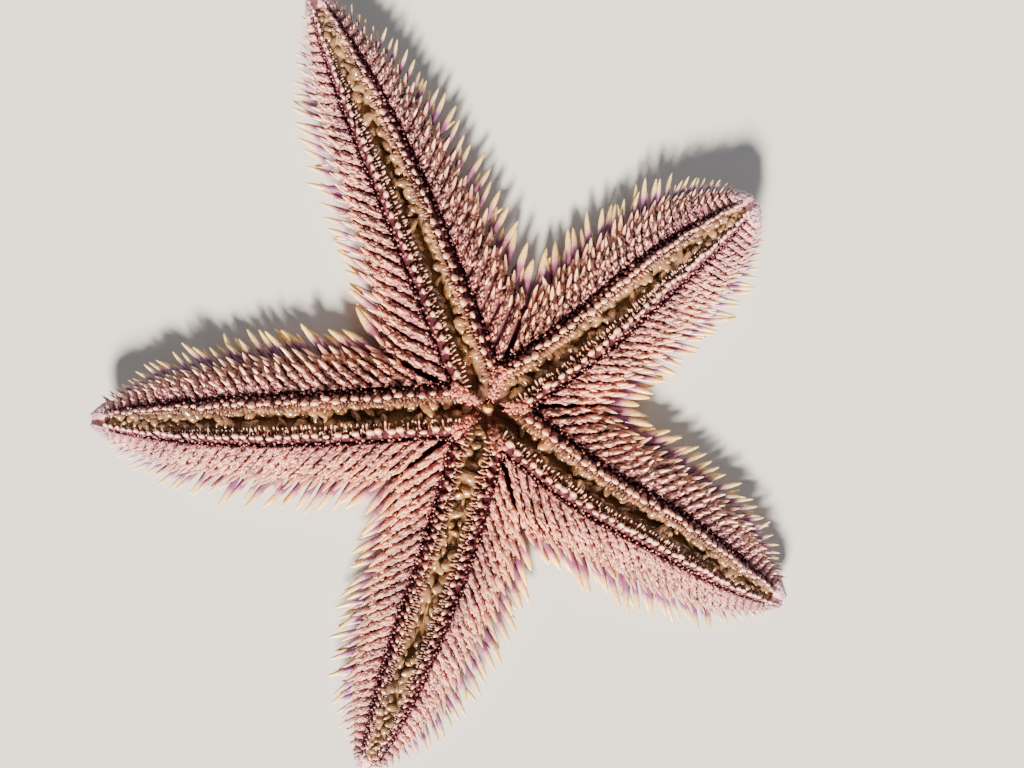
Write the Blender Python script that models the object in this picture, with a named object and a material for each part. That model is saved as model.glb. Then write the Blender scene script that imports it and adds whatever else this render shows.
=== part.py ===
"""A spiny sand star lying on its back, mouth and tube-foot grooves up, at life size.

Metres, +Z up. The origin is on the floor under the mouth. +X and +Y are to the right and away from
someone who looks down on the star. Each arm is worked out in its own coordinates: s along the arm
from the mouth, u across it and w up from its back, which lies on the floor near the disc.
"""

import math
import random
from collections import namedtuple

import bmesh
import bpy
import numpy as np
from mathutils import Vector

# The five arms, in degrees and metres. azimuth is where an arm leaves the disc, sweep how far its
# tip has swung to the left of that line, bulge how far its middle has, and lift how high the tip
# is carried. width is half of the full arm without its spines, and fullness how far out it stays
# that wide.
Arm = namedtuple("Arm", "name azimuth length sweep bulge lift width fullness")
ARMS = (
    Arm("arm_1", 111.0, 0.0905, 0.0033, 0.0000, 0.0045, 0.0130, 2.75),
    Arm("arm_2", 36.2, 0.0682, 0.0022, 0.0010, 0.0062, 0.0124, 6.0),
    Arm("arm_3", -38.0, 0.0712, 0.0060, 0.0014, 0.0030, 0.0124, 4.4),
    Arm("arm_4", -105.2, 0.0778, -0.0051, -0.0006, 0.0034, 0.0130, 3.2),
    Arm("arm_5", 183.7, 0.0800, -0.0028, 0.0000, 0.0052, 0.0130, 3.6),
)

# Where the margins of neighbouring arms meet: degrees, and metres from the mouth.
Corner = namedtuple("Corner", "azimuth radius")
CORNERS = (  # CORNERS[k] lies between ARMS[k] and ARMS[k + 1]
    Corner(69.5, 0.0232),
    Corner(1.5, 0.0230),
    Corner(-74.5, 0.0266),
    Corner(-143.5, 0.0255),
    Corner(152.5, 0.0245),
)

# The body
ARM_ROUNDING = 0.65  # how bluntly the sides close in on the tip
BASE_FLARE = 0.0075  # the length over which an arm's foot widens to the corners
BODY_HEIGHT = 0.0105  # from the back to the mouth side, at the disc
TIP_HEIGHT = 0.0034
HEIGHT_FULLNESS = 2.2  # how far out an arm stays thick
HEIGHT_ROUNDING = 0.8
DISC_REACH = 0.0200  # inside this the arms run straight
LIFT_FROM = 0.42  # the share of an arm that lies on the floor
LAST_STATION = 0.965  # the share of the arm where its last plates end
CAP_SHARE = 1.045  # where the ring that rounds off the tip lies, as a share of the plates
CAP_UP = 0.45  # the height of the very tip, as a share of the arm's there
BACK_UNDER = -0.03  # how far the back is drawn under the floor, which then trims it to a flat

# The groove that holds the tube feet
GROOVE_HALF_WIDTH = 0.0034  # from its middle to the ridge beside it
GROOVE_NARROWING = 0.78  # how much of that is lost at the tip
GROOVE_FULLNESS = 5.0  # how far out it stays wide
MOUTH_RADIUS = 0.0068  # where the grooves run out into the mouth
HUB_SHARE = 0.22  # how far in from there the arms are drawn, down into the mouth
HUB_TOP = 0.0045

# The marginal plates
PLATES = 14  # on each side of an arm
PLATE_CROWDING = 0.36  # how much narrower than the average they become at the tip
PLATE_START = 1.72  # the inner end of a plate, in groove half-widths
PLATE_RELIEF = 0.00055  # how far a plate stands out of the seams beside it
PLATE_GAP = 0.00030  # between the first plates of an arm and the line to the corner

# Half a cross-section, from the groove round to the middle of the back. across is a number of
# groove half-widths where it ends in g, and a share of the way from a plate's inner end to the
# margin where it ends in p. up is a share of the height, slant how far a row has moved from the
# groove's stations to the margin's, and plate how much of the relief it has.
Row = namedtuple("Row", "across up slant plate")
ROWS = (
    Row((0.00, "g"), 0.60, 0.0, 0.0),
    Row((0.78, "g"), 0.955, 0.0, 0.0),
    Row((1.22, "g"), 0.965, 0.0, 0.0),
    Row((1.52, "g"), 0.86, 0.0, 0.0),
    Row((0.00, "p"), 0.93, 0.0, 0.8),
    Row((0.50, "p"), 0.83, 0.5, 1.0),
    Row((0.90, "p"), 0.58, 0.9, 1.0),
    Row((1.00, "p"), 0.40, 1.0, 1.0),
    Row((0.93, "p"), 0.13, 1.0, 0.7),
    Row((0.66, "p"), BACK_UNDER, 0.8, 0.0),
    Row((0.00, "c"), BACK_UNDER, 0.0, 0.0),
)
MARGIN_ROW = 7
SIDE_SLANT = 0.9  # rows that slant at least this much lie on the side of the arm
SEAM_SINK = 0.6  # how far the seams there are sunk inwards, as a share of the relief
SEAM_RISE = 0.3  # and how far upwards, below the margin

# The spines and feet: length and root radius
MARGIN_SPINE = (0.0052, 0.00066)
FACE_SPINE = (0.0034, 0.00062)
BACK_SPINE = (0.0028, 0.00060)
PEG = (0.0017, 0.00058)
TUBE_FOOT = (0.0025, 0.00082)
PAPILLA = (0.0011, 0.00042)
ROOT_DEPTH = 0.0008  # how deep a root is sunk
SIZE_RANGE = (0.9, 1.12)  # how much spines of one kind vary
TIP_SHRINK = 0.50  # how much smaller they become towards the tip
SHRINK_FROM = 0.25
SHRINK_POWER = 1.5
PEG_BLUNTNESS = 0.8
PAPILLA_BLUNTNESS = 0.6

# Where they stand: the number of a row, and the share of the way to the next row
FRINGE_PLACE = (6, 0.85)
FACE_PLACE = (5, 0.15)
BEHIND_PLACE = (7, 0.62)
RIDGE_PLACE = (1, 0.62)
PEGS = 14  # along each edge of a groove
PEG_FIRST = 0.35  # the place of the first peg, as a share of their spacing
TUBE_FEET = 8  # in each of the two rows in a groove
FOOT_FIRST = 0.5
FOOT_STAGGER = 0.22
FOOT_ACROSS = 0.36  # how far out in the groove a foot stands
FOOT_UP = 0.745  # the height of its root, as a share of the arm's

# How they lean: along the arm and up, for each unit outwards
FRINGE_SWEEP = (0.30, 0.55)
FRINGE_RISE = (0.0, 0.16)
CORNER_SWEEP = 0.55  # how much more the spines beside a corner point along their arm
CORNER_PLATES = 1.6
FACE_SWEEP = 0.1  # added to the sweep of the fringe spine on the same plate
FACE_RISE = (0.25, 0.45)
BEHIND_LEAN = (0.3, -0.12)
PEG_LEAN = (0.10, 0.35)  # towards the groove, for each unit up
FOOT_LEAN = (0.10, 0.40)
PAPILLA_LEAN = (0.4, 0.7)  # towards the mouth, for each unit up
PAPILLA_SPLAY = 0.4

# The disc
NODE_GAP = 0.0003  # between touching nodes
CUT_INSET = 0.0004  # how far inside the corners an arm is divided from the disc
CORE_ARM_REACH = 0.0124
CORE_INSET = 0.0014  # how far the core stays inside the corners
CORE_LEVELS = (  # a share of the core's rim, and the height there
    (0.80, -0.0006),
    (0.97, 0.0020),
    (1.00, 0.0040),
    (0.92, 0.0064),
    (0.62, 0.0083),
    (0.30, 0.0072),
)
CORE_PIT = 0.0046  # the height of the floor of the mouth
FLOOR_REACH = 0.15
FLOOR_DEPTH = 0.01

# The jaws, each a pair of mouth plates with a seam between them
JAW_TIP = 0.0022  # from the middle of the mouth to the point of a jaw
JAW_END = 0.0088
JAW_HALF_WIDTH = 0.0021
JAW_FOOT = 0.0070  # the height of a jaw's underside
JAW_CREASE = 0.0006  # how deep the seam is
JAW_ROUND = 0.0003
JAW_STEPS = (  # a share of its length, a share of its width, and the height of its top
    (0.00, 0.30, 0.0088),
    (0.35, 0.80, 0.0100),
    (0.75, 1.00, 0.0108),
    (1.00, 0.82, 0.0104),
)
JAW_SECTION = ((0.70, 0.0), (1.0, 0.6), (0.55, 1.0))  # shares of the half-width and the height
PAPILLA_STEP = 0.08  # how far beyond a step its papillae stand
PAPILLA_ACROSS = 0.58

# The sieve plate on the back
SIEVE_CORNER = 0  # the corner that it lies towards
SIEVE_PLACE = 0.0130  # its distance from the middle
SIEVE_RADIUS = 0.0015
SIEVE_SIDES = 12
SIEVE_LEVELS = (0.0003, 0.0013)  # the heights of its outer and inner faces

BOX_FACES = ((0, 1, 3, 2), (4, 6, 7, 5), (0, 4, 5, 1), (2, 3, 7, 6), (0, 2, 6, 4), (1, 5, 7, 3))
UP = Vector((0.0, 0.0, 1.0))
SEED = 41
BODY_COLOUR = (0.47, 0.26, 0.30, 1.0)
BODY_ROUGHNESS = 0.6
JAW_COLOUR = (0.62, 0.30, 0.27, 1.0)
JAW_ROUGHNESS = 0.5


def clear_scene():
    for item in list(bpy.data.objects):
        bpy.data.objects.remove(item)


def material(name, colour, roughness):
    made = bpy.data.materials.new(name)
    made.use_nodes = True
    shader = made.node_tree.nodes["Principled BSDF"]
    shader.inputs["Base Color"].default_value = colour
    shader.inputs["Roughness"].default_value = roughness
    shader.inputs["Metallic"].default_value = 0.0
    return made


def turn_between(azimuth, other):
    """The turn from one azimuth to another in radians, between minus and plus half a turn."""
    return math.radians((other - azimuth + 180.0) % 360.0 - 180.0)


def heading(azimuth):
    return Vector((math.cos(math.radians(azimuth)), math.sin(math.radians(azimuth)), 0.0))


class ArmSpace:
    """Where the points of one arm lie. Side +1 is to the left of someone who walks out along it."""

    def __init__(self, index):
        self.arm = ARMS[index]
        self.out = heading(self.arm.azimuth)
        self.left = heading(self.arm.azimuth + 90.0)
        self.corner = {}
        for side, corner in ((1, CORNERS[index - 1]), (-1, CORNERS[index])):
            turn = abs(turn_between(self.arm.azimuth, corner.azimuth))
            ahead = corner.radius * math.cos(turn)
            aside = corner.radius * math.sin(turn)
            self.corner[side] = (ahead, aside, turn)

    def share(self, s):
        return min(1.0, max(0.0, s / self.arm.length))

    def offset(self, s):
        """How far the middle of the arm lies to the left of its azimuth."""
        x = max(0.0, (s - DISC_REACH) / (self.arm.length - DISC_REACH))
        return self.arm.sweep * x * x + self.arm.bulge * math.sin(math.pi * x) ** 2

    def rise(self, s):
        x = max(0.0, (s / self.arm.length - LIFT_FROM) / (1.0 - LIFT_FROM))
        return self.arm.lift * x * x

    def centre(self, s):
        return self.out * s + self.left * self.offset(s) + UP * self.rise(s)

    def axes(self, s):
        """Along, left and up at a place on the arm."""
        step = self.arm.length / 200.0
        along = (self.centre(s + step) - self.centre(s - step)).normalized()
        left = UP.cross(along).normalized()
        return along, left, along.cross(left)

    def point(self, s, u, w):
        _, left, up = self.axes(s)
        return self.centre(s) + left * u + up * w

    def profile(self, s):
        return self.arm.width * (1.0 - self.share(s) ** self.arm.fullness) ** ARM_ROUNDING

    def half_width(self, s, side):
        start, width, _ = self.corner[side]
        flare = math.exp(-max(0.0, s - start) / BASE_FLARE)
        return self.profile(s) + (width - self.profile(start)) * flare

    def height(self, s):
        kept = (1.0 - self.share(s) ** HEIGHT_FULLNESS) ** HEIGHT_ROUNDING
        return TIP_HEIGHT + (BODY_HEIGHT - TIP_HEIGHT) * kept

    def groove(self, s):
        lost = GROOVE_NARROWING * self.share(s) ** GROOVE_FULLNESS
        return GROOVE_HALF_WIDTH * (1.0 - lost)

    def spread(self, share, start):
        """Where a plate boundary falls between start and the arm's end. Plates shorten outwards."""
        eased = share * (1.0 + PLATE_CROWDING) - PLATE_CROWDING * share * share
        return start + (self.arm.length * LAST_STATION - start) * eased

    def plate_station(self, row, share, side):
        """How far out a plate's row lies: plates slant outwards from the groove to the margin."""
        start, _, turn = self.corner[side]
        inner = (PLATE_START * GROOVE_HALF_WIDTH + PLATE_GAP) / math.tan(turn) + PLATE_GAP
        return self.spread(share, inner) * (1.0 - row.slant) + self.spread(share, start) * row.slant

    def row_place(self, row, share, side, raised=1.0):
        """(s, u, w) of a row's point on the line that lies at this share of the plates."""
        across, kind = row.across
        if kind == "p":
            s = self.plate_station(row, share, side)
            inner = PLATE_START * self.groove(s)
            u = inner + across * (self.half_width(s, side) - inner)
            u -= PLATE_GAP if share == 0.0 else 0.0
        else:
            s = self.spread(share, MOUTH_RADIUS)
            u = across * self.groove(s)
        w = row.up * self.height(s)
        sunk = PLATE_RELIEF * row.plate * (1.0 - raised)
        if row.slant >= SIDE_SLANT:
            u -= sunk * SEAM_SINK
        below_margin = row.up < ROWS[MARGIN_ROW].up
        w += sunk * SEAM_RISE if below_margin else -sunk
        return s, side * u, w

    def hub_point(self, row, side):
        """A row's point close to the mouth's axis, on the same line as its first plate's edge."""
        s, u, w = self.row_place(row, 0.0, side)
        return self.point(s * HUB_SHARE, u * HUB_SHARE, min(w, HUB_TOP))


def mesh_object(name, points, faces):
    mesh = bpy.data.meshes.new(name)
    mesh.from_pydata([tuple(p) for p in points], [], faces)
    shape = bmesh.new()
    shape.from_mesh(mesh)
    loose = [corner for corner in shape.verts if not corner.link_faces]
    bmesh.ops.delete(shape, geom=loose, context="VERTS")
    bmesh.ops.recalc_face_normals(shape, faces=shape.faces)
    shape.to_mesh(mesh)
    shape.free()
    made = bpy.data.objects.new(name, mesh)
    bpy.context.scene.collection.objects.link(made)
    return made


def loft(name, rings, end_points, joined=()):
    """A closed tube through rings of equal count, with a fan to a point at each end.

    joined lists (ring, place) pairs whose point is left out in favour of the ring before's.
    """
    count = len(rings[0])
    index = {(i, j): i * count + j for i in range(len(rings)) for j in range(count)}
    for i, j in joined:
        index[i, j] = index[i - 1, j]
    faces = []
    for i in range(len(rings) - 1):
        for j in range(count):
            k = (j + 1) % count
            face = (index[i, j], index[i, k], index[i + 1, k], index[i + 1, j])
            faces.append(tuple(dict.fromkeys(face)))
    points = [p for ring in rings for p in ring] + list(end_points)
    first, last = len(points) - 2, len(points) - 1
    for j in range(count):
        k = (j + 1) % count
        faces.append((first, index[0, k], index[0, j]))
        faces.append((last, index[len(rings) - 1, j], index[len(rings) - 1, k]))
    return mesh_object(name, points, [face for face in faces if len(face) > 2])


def both_sides(place):
    """A closed ring from a function of a row and a side."""
    left = [place(row, 1) for row in ROWS]
    right = [place(row, -1) for row in ROWS[1:-1]]
    return left + right[::-1]


def plain_places():
    """The places in a ring of the rows that have no relief."""
    half = [k for k, row in enumerate(ROWS) if row.plate == 0.0]
    last = len(ROWS) - 1
    return half + [2 * last - k for k in half if 0 < k < last]


def station_ring(space, share, raised):
    def place(row, side):
        return space.point(*space.row_place(row, share, side, raised))

    return both_sides(place)


def arm_body(space):
    """The arm without its spines, from the mouth to the tip, with raised marginal plates."""
    rings = [both_sides(space.hub_point)]
    for k in range(2 * PLATES + 1):
        rings.append(station_ring(space, k / (2.0 * PLATES), k % 2))
    rings.append(station_ring(space, CAP_SHARE, 1))
    joined = [(2 * plate + 2, place) for plate in range(PLATES) for place in plain_places()]
    length = space.arm.length
    inner = space.point(MOUTH_RADIUS / 10.0, 0.0, HUB_TOP / 2.0)
    tip = space.point(length, 0.0, space.height(length) * CAP_UP)
    return loft(space.arm.name, rings, (inner, tip), joined)


def spine(root, direction, size, scale=1.0, blunt=0.0, sides=4):
    """A tapered spine, its root sunk along its own axis. blunt is the tip's share of the root."""
    length, radius = size[0] * scale, size[1] * scale
    ahead = direction.normalized()
    across = ahead.orthogonal().normalized()
    over = ahead.cross(across)
    rings = []
    for distance, share in ((-ROOT_DEPTH, 1.0), (length, blunt)):
        ring = []
        for k in range(sides):
            turn = 2.0 * math.pi * (k + 0.5) / sides
            side_step = across * math.cos(turn) + over * math.sin(turn)
            ring.append(root + ahead * distance + side_step * (radius * share))
        rings.append(ring)
    faces = [tuple(range(sides))]
    if not blunt:
        points = rings[0] + [root + ahead * length]
        faces += [(k, (k + 1) % sides, sides) for k in range(sides)]
        return mesh_object("spine", points, faces)
    faces.append(tuple(range(sides, 2 * sides)))
    for k in range(sides):
        after = (k + 1) % sides
        faces.append((k, after, after + sides, k + sides))
    return mesh_object("spine", rings[0] + rings[1], faces)


def between_rows(place):
    """A row that lies part of the way from one row to the next."""
    number, part = place
    first, second = ROWS[number], ROWS[number + 1]
    across = first.across[0] * (1 - part) + second.across[0] * part
    up = first.up * (1 - part) + second.up * part
    slant = first.slant * (1 - part) + second.slant * part
    return Row((across, second.across[1]), up, slant, 0.0)


def size_along(space, s):
    """Spines shrink towards the end of the arm."""
    return 1.0 - TIP_SHRINK * max(0.0, space.share(s) - SHRINK_FROM) ** SHRINK_POWER


def side_spine(space, place, lean, size, sides, draw):
    """A spine that points out of the side of an arm at (s, u, w)."""
    s, u, w = place
    along, left, up = space.axes(s)
    outward = left if u > 0 else -left
    ahead = outward + along * lean[0] + up * lean[1]
    scale = size_along(space, s) * draw.uniform(*SIZE_RANGE)
    return spine(space.point(s, u, w), ahead, size, scale, sides=sides)


def marginal_spines(space, draw):
    """The fringe: a long spine on every plate, and shorter ones on some faces and behind a few."""
    made = []
    for side in (1, -1):
        for plate in range(PLATES):
            share = (plate + 0.5) / PLATES
            sweep = draw.uniform(*FRINGE_SWEEP) + CORNER_SWEEP * math.exp(-plate / CORNER_PLATES)
            place = space.row_place(between_rows(FRINGE_PLACE), share, side)
            lean = (sweep, draw.uniform(*FRINGE_RISE))
            made.append(side_spine(space, place, lean, MARGIN_SPINE, 4, draw))
            if plate % 4 == 1:
                place = space.row_place(between_rows(BEHIND_PLACE), share, side)
                made.append(side_spine(space, place, BEHIND_LEAN, BACK_SPINE, 3, draw))
            elif plate % 2 == 0:
                place = space.row_place(between_rows(FACE_PLACE), share, side)
                lean = (sweep + FACE_SWEEP, draw.uniform(*FACE_RISE))
                made.append(side_spine(space, place, lean, FACE_SPINE, 3, draw))
    return made


def groove_pegs(space, draw):
    """The blunt pegs that stand along both edges of the groove."""
    made = []
    for side in (1, -1):
        for peg in range(PEGS):
            share = (peg + PEG_FIRST) / (PEGS - 1 + 2 * PEG_FIRST)
            s, u, w = space.row_place(between_rows(RIDGE_PLACE), share, side)
            _, left, up = space.axes(s)
            ahead = up - left * side * draw.uniform(*PEG_LEAN)
            root = space.point(s, u, w)
            made.append(spine(root, ahead, PEG, size_along(space, s), PEG_BLUNTNESS))
    return made


def tube_feet(space, draw):
    """Two rows of soft pointed feet, folded down in the groove as far as the arm's tip."""
    made = []
    for side in (1, -1):
        for foot in range(TUBE_FEET):
            share = (foot + FOOT_FIRST + FOOT_STAGGER * side) / (TUBE_FEET + FOOT_STAGGER)
            s = space.spread(share, MOUTH_RADIUS)
            width = space.groove(s)
            _, left, up = space.axes(s)
            root = space.point(s, side * width * FOOT_ACROSS, FOOT_UP * space.height(s))
            ahead = up - left * side * draw.uniform(*FOOT_LEAN)
            made.append(spine(root, ahead, TUBE_FOOT, width / GROOVE_HALF_WIDTH))
    return made


def disc_core():
    """The middle of the body, which the first plates of every arm grow from."""
    rim = []
    for arm, corner in zip(ARMS, CORNERS):
        rim.append(heading(arm.azimuth) * CORE_ARM_REACH)
        rim.append(heading(corner.azimuth) * (corner.radius - CORE_INSET))
    rings = [[p * share + UP * z for p in rim] for share, z in CORE_LEVELS]
    return loft("disc", rings, (UP * CORE_LEVELS[0][1], UP * CORE_PIT))


def sieve_disc(name, radius, low, high):
    """A short upright disc at the place of the sieve plate on the back."""
    place = heading(CORNERS[SIEVE_CORNER].azimuth) * SIEVE_PLACE
    rings = []
    for z in (low, high):
        turns = [360.0 * k / SIEVE_SIDES for k in range(SIEVE_SIDES)]
        rings.append([place + heading(turn) * radius + UP * z for turn in turns])
    return loft(name, rings, (place + UP * low, place + UP * high))


def box(middle, outward, across, spans):
    """A box from its spans along outward, across and up."""
    points = []
    for away in spans[0]:
        for side in spans[1]:
            for z in spans[2]:
                points.append(middle + outward * away + across * side + UP * z)
    return mesh_object("cutter", points, BOX_FACES)


def floor_block():
    """All that lies under the floor."""
    wide = (-FLOOR_REACH, FLOOR_REACH)
    return box(Vector(), Vector((1, 0, 0)), Vector((0, 1, 0)), (wide, wide, (-FLOOR_DEPTH, 0.0)))


def cut_block(index, removes_inner):
    """All on one side of the line that joins the corners beside an arm, less half the node gap."""
    first, second = CORNERS[index - 1], CORNERS[index]
    start = heading(first.azimuth) * (first.radius - CUT_INSET)
    end = heading(second.azimuth) * (second.radius - CUT_INSET)
    across = (end - start).normalized()
    outward = across.cross(UP)
    if outward.dot(heading(ARMS[index].azimuth)) < 0:
        outward = -outward
    edge = NODE_GAP / 2
    span = (edge - FLOOR_REACH, edge) if removes_inner else (-edge, FLOOR_REACH - edge)
    spans = (span, (-FLOOR_REACH, FLOOR_REACH), (-FLOOR_DEPTH, FLOOR_REACH))
    return box((start + end) / 2, outward, across, spans)


def jaw_ring(index, step, grow):
    """A jaw's cross-section at one of its steps."""
    azimuth = CORNERS[index].azimuth
    part, share, top = step
    r = JAW_TIP + (JAW_END - JAW_TIP) * part + (grow if part > 0.5 else -grow)
    half = JAW_HALF_WIDTH * share + grow
    low, high = JAW_FOOT - grow, top + grow
    side = [(half * across, low + (high - low) * up) for across, up in JAW_SECTION]
    section = [(-u, z) for u, z in side] + [(0.0, high - JAW_CREASE)] + side[::-1]
    left = heading(azimuth + 90.0)
    return [heading(azimuth) * r + left * u + UP * z for u, z in section]


def jaw_body(index, grow=0.0):
    """A pair of mouth plates that points into the mouth, grown where it cuts its own pocket."""
    out = heading(CORNERS[index].azimuth)
    rings = [jaw_ring(index, step, grow) for step in JAW_STEPS]
    middle = UP * (JAW_FOOT + JAW_CREASE)
    inner = out * (JAW_TIP - JAW_ROUND - grow) + middle
    outer = out * (JAW_END + JAW_ROUND + grow) + middle
    return loft("jaw_%d" % (index + 1), rings, (inner, outer))


def jaw(index, draw):
    """The mouth plates with the short papillae along their two edges."""
    azimuth = CORNERS[index].azimuth
    out, left = heading(azimuth), heading(azimuth + 90.0)
    papillae = []
    for side in (1, -1):
        for part, share, top in JAW_STEPS[::2]:
            r = JAW_TIP + (JAW_END - JAW_TIP) * (part + PAPILLA_STEP)
            u = side * JAW_HALF_WIDTH * share * PAPILLA_ACROSS
            ahead = UP + left * side * PAPILLA_SPLAY - out * draw.uniform(*PAPILLA_LEAN)
            root = out * r + left * u + UP * top
            papillae.append(spine(root, ahead, PAPILLA, blunt=PAPILLA_BLUNTNESS))
    body = jaw_body(index)
    boolean(body, "UNION", papillae)
    return body


def boolean(body, operation, operands):
    """Joins the operands to the body, or cuts them from it, in one step, and removes them."""
    group = bpy.data.collections.new("operands")
    bpy.context.scene.collection.children.link(group)
    for item in operands:
        move_to(item, group)
    step = body.modifiers.new(operation.lower(), "BOOLEAN")
    step.operation = operation
    step.operand_type = "COLLECTION"
    step.collection = group
    step.solver = "MANIFOLD"
    bpy.context.view_layer.update()
    graph = bpy.context.evaluated_depsgraph_get()
    mesh = bpy.data.meshes.new_from_object(body.evaluated_get(graph))
    body.modifiers.clear()
    body.data = mesh
    for item in list(group.objects):
        bpy.data.objects.remove(item)
    bpy.data.collections.remove(group)
    keep_largest(body)


def move_to(item, group):
    for holder in list(item.users_collection):
        holder.objects.unlink(item)
    group.objects.link(item)


def connected(shape):
    """The faces of a mesh in groups, one for each separate surface."""
    left = set(shape.faces)
    groups = []
    while left:
        found = [left.pop()]
        for face in found:
            for edge in face.edges:
                for other in edge.link_faces:
                    if other in left:
                        left.remove(other)
                        found.append(other)
        groups.append(found)
    return groups


def keep_largest(body):
    """Leaves only the closed surface that holds the most."""
    shape = bmesh.new()
    shape.from_mesh(body.data)
    bmesh.ops.triangulate(shape, faces=shape.faces)

    def held(faces):
        return float(np.linalg.det(np.array([[v.co for v in f.verts] for f in faces])).sum())

    for faces in sorted(connected(shape), key=held)[:-1]:
        bmesh.ops.delete(shape, geom=faces, context="FACES")
    shape.to_mesh(body.data)
    shape.free()


def whole_arm(space, draw):
    arm = arm_body(space)
    grown = marginal_spines(space, draw) + groove_pegs(space, draw) + tube_feet(space, draw)
    boolean(arm, "UNION", grown)
    return arm


def arms_and_roots(draw):
    """The arms outside the corner lines, and what lies inside them, which the disc takes."""
    arms, roots = [], []
    for index in range(len(ARMS)):
        arm = whole_arm(ArmSpace(index), draw)
        root = arm.copy()
        root.data = arm.data.copy()
        bpy.context.scene.collection.objects.link(root)
        boolean(arm, "DIFFERENCE", [cut_block(index, True), floor_block()])
        boolean(root, "DIFFERENCE", [cut_block(index, False)])
        arm.name = ARMS[index].name
        arms.append(arm)
        roots.append(root)
    return arms, roots


def whole_disc(roots):
    """The disc, with pockets for the jaws and the sieve plate."""
    disc = disc_core()
    boolean(disc, "UNION", roots)
    cutters = [jaw_body(index, NODE_GAP) for index in range(len(CORNERS))]
    high = SIEVE_LEVELS[1] + NODE_GAP
    cutters.append(sieve_disc("pit", SIEVE_RADIUS + NODE_GAP, -FLOOR_DEPTH, high))
    cutters.append(floor_block())
    boolean(disc, "DIFFERENCE", cutters)
    disc.name = "disc"
    return disc


def main():
    clear_scene()
    draw = random.Random(SEED)
    arms, roots = arms_and_roots(draw)
    body = [whole_disc(roots)] + arms
    body.append(sieve_disc("madreporite", SIEVE_RADIUS, *SIEVE_LEVELS))
    jaws = [jaw(index, draw) for index in range(len(CORNERS))]
    looks = (
        (body, material("plates", BODY_COLOUR, BODY_ROUGHNESS)),
        (jaws, material("mouth plates", JAW_COLOUR, JAW_ROUGHNESS)),
    )
    star = bpy.data.collections.new("spiny sand star")
    bpy.context.scene.collection.children.link(star)
    for pieces, look in looks:
        for piece in pieces:
            piece.data.materials.clear()
            piece.data.materials.append(look)
            move_to(piece, star)


main()
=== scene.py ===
"""The looks of the spiny sand star: one skin, with finer plates, spines, pegs and feet on it.

Metres, in the frame of the solids. Each arm is worked out in its own coordinates: s along the arm
from the mouth, u across it and w up from its back. Points on the skin are named by side, share
(how far along the plates they lie) and t (how far round from the groove to the back, in rows).
"""

import math
from collections import namedtuple

import bpy
import numpy as np
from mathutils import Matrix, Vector

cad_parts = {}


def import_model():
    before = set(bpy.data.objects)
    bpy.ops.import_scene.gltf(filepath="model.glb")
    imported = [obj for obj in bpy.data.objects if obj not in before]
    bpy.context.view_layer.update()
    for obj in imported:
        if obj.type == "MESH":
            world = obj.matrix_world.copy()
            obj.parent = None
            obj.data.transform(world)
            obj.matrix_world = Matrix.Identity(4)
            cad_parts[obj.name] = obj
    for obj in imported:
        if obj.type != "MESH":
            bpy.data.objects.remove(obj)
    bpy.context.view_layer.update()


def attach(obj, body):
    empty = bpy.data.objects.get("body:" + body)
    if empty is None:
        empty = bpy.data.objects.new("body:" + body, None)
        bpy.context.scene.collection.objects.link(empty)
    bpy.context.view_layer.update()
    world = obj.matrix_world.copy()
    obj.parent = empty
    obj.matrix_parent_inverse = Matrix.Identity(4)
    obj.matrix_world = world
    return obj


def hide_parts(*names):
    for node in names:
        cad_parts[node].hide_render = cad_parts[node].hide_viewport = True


SEED = 7
UP = np.array((0.0, 0.0, 1.0))

# The arms, and the azimuth and radius of the corners between them, as in the solids
Arm = namedtuple("Arm", "azimuth length sweep bulge lift width fullness")
ARMS = (
    Arm(111.0, 0.0905, 0.0033, 0.0000, 0.0045, 0.0130, 2.75),
    Arm(36.2, 0.0682, 0.0022, 0.0010, 0.0062, 0.0124, 6.0),
    Arm(-38.0, 0.0712, 0.0060, 0.0014, 0.0030, 0.0124, 4.4),
    Arm(-105.2, 0.0778, -0.0051, -0.0006, 0.0034, 0.0130, 3.2),
    Arm(183.7, 0.0800, -0.0028, 0.0000, 0.0052, 0.0130, 3.6),
)
CORNERS = ((69.5, 0.0232), (1.5, 0.0230), (-74.5, 0.0266), (-143.5, 0.0255), (152.5, 0.0245))
ARM_ROUNDING = 0.65
BASE_FLARE = 0.0075
BODY_HEIGHT = 0.0105
TIP_HEIGHT = 0.0034
HEIGHT_FULLNESS = 2.2
HEIGHT_ROUNDING = 0.8
DISC_REACH = 0.0200
LIFT_FROM = 0.42
LAST_STATION = 0.965
GROOVE_HALF_WIDTH = 0.0034
GROOVE_NARROWING = 0.78
GROOVE_FULLNESS = 5.0
MOUTH_RADIUS = 0.0068
PLATE_CROWDING = 0.36
PLATE_START = 1.72
PLATE_GAP = 0.00030

# Rows of the skin round half an arm: groove half-widths, share of a plate, height, three weights
# for where the row starts (mouth, plate end, corner), relief, and metres that it is raised
ROWS = np.array((
    (0.00, 0.00, 0.600, 1.0, 0.0, 0.0, 0.0, 0.0),
    (0.78, 0.00, 0.940, 1.0, 0.0, 0.0, 0.0, 0.0),
    (1.22, 0.00, 0.955, 1.0, 0.0, 0.0, 0.0, 0.0),
    (1.52, 0.00, 0.800, 1.0, 0.0, 0.0, 0.0, 0.0),
    (1.72, 0.00, 0.900, 0.0, 1.0, 0.0, 0.8, 0.0),
    (1.72, 0.50, 0.810, 0.0, 0.5, 0.5, 1.0, 0.0),
    (1.72, 0.90, 0.570, 0.0, 0.1, 0.9, 1.0, 0.0),
    (1.72, 0.99, 0.390, 0.0, 0.0, 1.0, 1.0, 0.0),
    (1.72, 0.92, 0.140, 0.0, 0.0, 1.0, 0.8, 0.0),
    (1.72, 0.66, 0.000, 0.0, 0.2, 0.8, 0.0, 0.0006),
    (0.00, 0.00, 0.000, 1.0, 0.0, 0.0, 0.0, 0.0006),
))
BACK = 10.0  # the last row
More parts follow.
